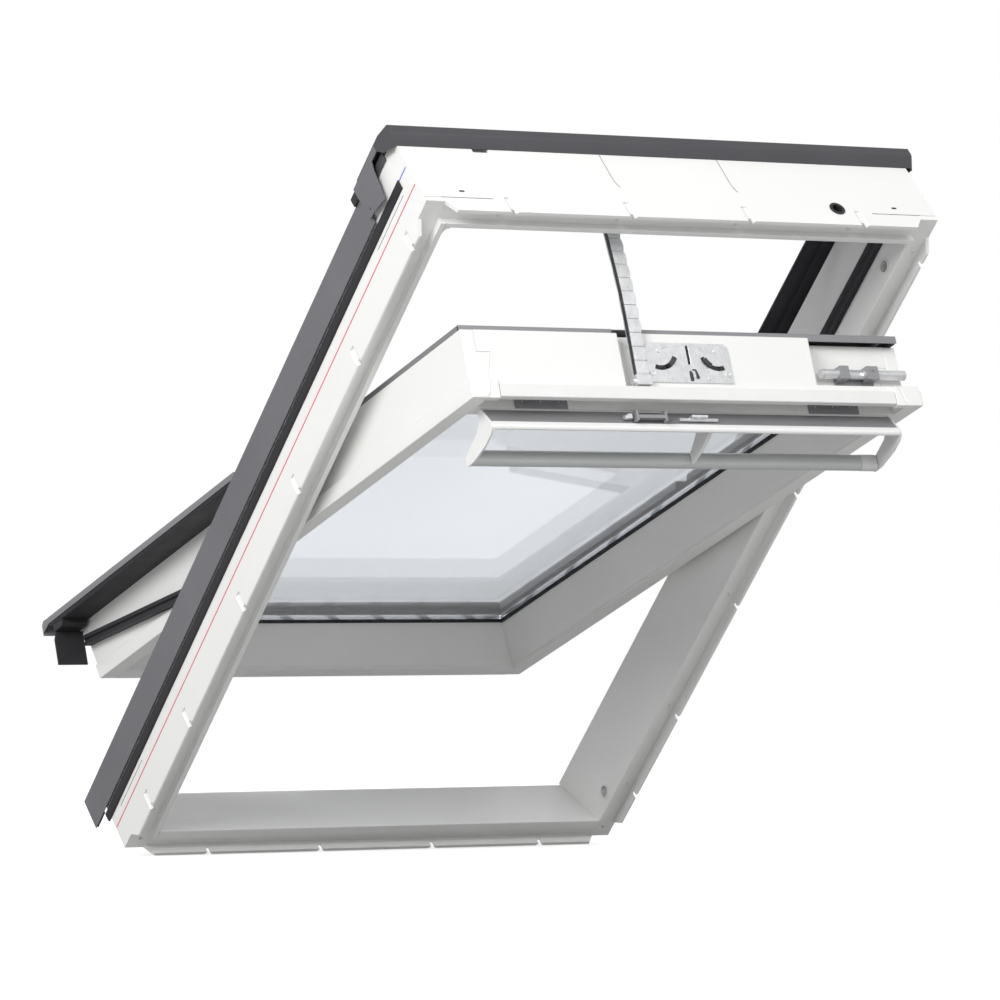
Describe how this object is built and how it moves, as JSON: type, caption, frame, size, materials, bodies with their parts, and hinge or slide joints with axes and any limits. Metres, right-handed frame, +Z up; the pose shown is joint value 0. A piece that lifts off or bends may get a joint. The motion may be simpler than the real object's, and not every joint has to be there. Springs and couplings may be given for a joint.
{
  "type": "centre-pivot roof window",
  "caption": "Centre-pivot skylight on a pitched roof: white moulded frame and tilted sash, double pane, grey metal covers, push-chain opener, control bar, lock and barrel bolt.",
  "frame": {"origin": "middle of the sill's lower outer face, where the frame meets the lower edge of the hole in the roof; the frame lies on a 45 degree pitch", "axes": "+X to the right across the window seen from the room, +Y level and outward through the roof, down its slope, +Z up"},
  "size_m": [0.8, 1.1274, 0.9451],
  "materials": {
    "white_pu": "painted satin",
    "white_trim": "satin",
    "dark_cover": "matt coated",
    "grey_cover": "satin coated",
    "sash_cover": "satin coated",
    "rubber": "matt",
    "steel": "zinc plated",
    "grey_handle": "satin anodised",
    "glass": "clear",
    "spacer": "bright",
    "hinge_grey": "matt"
  },
  "bodies": {
    "frame": {"frame_head": "white_pu", "frame_sill": "white_pu", "frame_jamb_left": "white_pu", "frame_jamb_right": "white_pu", "lining_screws": "steel", "cable_grommet": "hinge_grey", "bolt_bushes": "white_trim", "jamb_gaskets": "rubber", "jamb_cover_left": "grey_cover", "jamb_cover_right": "grey_cover", "cover_strips": "rubber", "cover_ends": "rubber", "upper_cover_left": "dark_cover", "upper_cover_right": "dark_cover", "upper_seals": "rubber", "hood": "dark_cover", "hood_bracket_left": "grey_cover", "hood_bracket_right": "grey_cover", "bracket_caps": "rubber", "frame_pivot_left": "steel", "frame_pivot_right": "steel", "operator_housing": "white_trim", "push_chain": "steel", "lock_keeper": "steel"},
    "chain_end": {"chain_end": "steel"},
    "sash": {"stile_left": "white_pu", "stile_right": "white_pu", "top_rail": "white_pu", "bottom_rail": "white_pu", "edge_strip": "white_trim", "inner_pane": "glass", "outer_pane": "glass", "pane_spacer": "spacer", "pane_seal": "rubber", "glazing_gasket": "rubber", "sash_top_cover": "sash_cover", "side_cover_left": "sash_cover", "side_cover_right": "sash_cover", "bottom_cover": "sash_cover", "flange_pads": "rubber", "corner_blocks": "rubber", "corner_flaps": "rubber", "side_seals": "rubber", "lock_plate": "steel", "lock_rivets": "steel", "bolt_brackets": "grey_handle", "sash_pivot_left": "steel", "sash_pivot_right": "steel", "flap_hinges": "hinge_grey"},
    "claw_left": {"lock_claw_left": "steel"},
    "claw_right": {"lock_claw_right": "steel"},
    "bolt": {"barrel_bolt": "steel"},
    "control_bar": {"control_flap": "white_trim", "bar_end_caps": "white_trim", "handle_bar": "grey_handle", "bar_middle_arm": "hinge_grey", "chain_bracket": "hinge_grey", "bar_link": "steel"},
    "release_catch": {"release_catch": "steel"}
  },
  "joints": [
    {"name": "vent_travel", "type": "hinge", "parent": "frame", "child": "chain_end", "pos_m": [0, -0.36487, 0.46103], "axis": [1, 0, 0], "range_deg": [-26, 0], "deforming": ["push_chain"]},
    {"name": "sash_turn", "type": "hinge", "parent": "chain_end", "child": "sash", "pos_m": [0, -0.36487, 0.46103], "axis": [1, 0, 0], "range_deg": [0, 137.56]},
    {"name": "control_bar_turn", "type": "hinge", "parent": "sash", "child": "control_bar", "pos_m": [0, -0.86698, 0.53704], "axis": [-1, 0, 0], "range_deg": [0, 25]},
    {"name": "bolt_slide", "type": "slide", "parent": "sash", "child": "bolt", "axis": [1, 0, 0], "range_m": [0, 0.025]},
    {"name": "catch_slide", "type": "slide", "parent": "control_bar", "child": "release_catch", "axis": [1, 0, 0], "range_m": [0, 0.004], "stiffness_N_per_m": 200},
    {"name": "claw_left_turn", "type": "hinge", "parent": "sash", "child": "claw_left", "pos_m": [-0.05, -0.86652, 0.61515], "axis": [0, -0.9455, 0.3256], "range_deg": [-50, 0]},
    {"name": "claw_right_turn", "type": "hinge", "parent": "sash", "child": "claw_right", "pos_m": [0.037, -0.86652, 0.61515], "axis": [0, -0.9455, 0.3256], "range_deg": [0, 50]}
  ],
  "couplings": [
    {"joint": "claw_left_turn", "follows": "control_bar_turn", "ratio": -2},
    {"joint": "claw_right_turn", "follows": "control_bar_turn", "ratio": 2}
  ]
}
